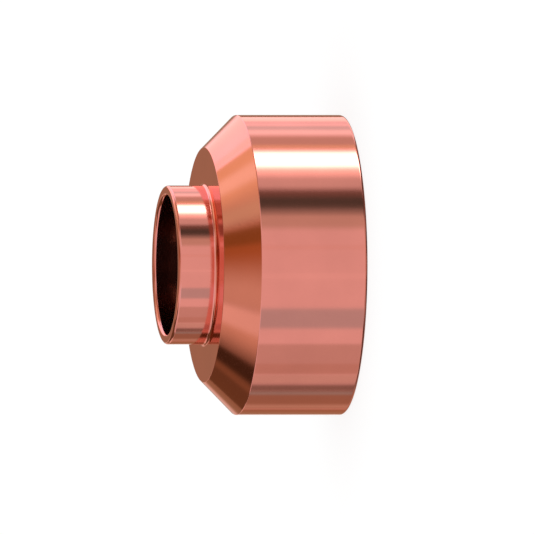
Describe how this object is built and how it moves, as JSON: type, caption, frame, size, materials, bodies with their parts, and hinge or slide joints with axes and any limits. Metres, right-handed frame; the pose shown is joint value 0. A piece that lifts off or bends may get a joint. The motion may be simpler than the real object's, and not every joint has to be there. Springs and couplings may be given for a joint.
{
  "type": "plasma deflector shield",
  "caption": "Turned copper cap with an internal thread, a 45 degree shoulder, a flat front face and a short open neck.",
  "frame": {"origin": "centre of the open rear rim, in the plane that the part stands on", "axes": "+Z along the turning axis, from the rear rim towards the neck"},
  "size_m": [0.028, 0.028, 0.0168],
  "materials": {
    "copper": "polished"
  },
  "bodies": {
    "root": {"shield": "copper"}
  },
  "joints": []
}
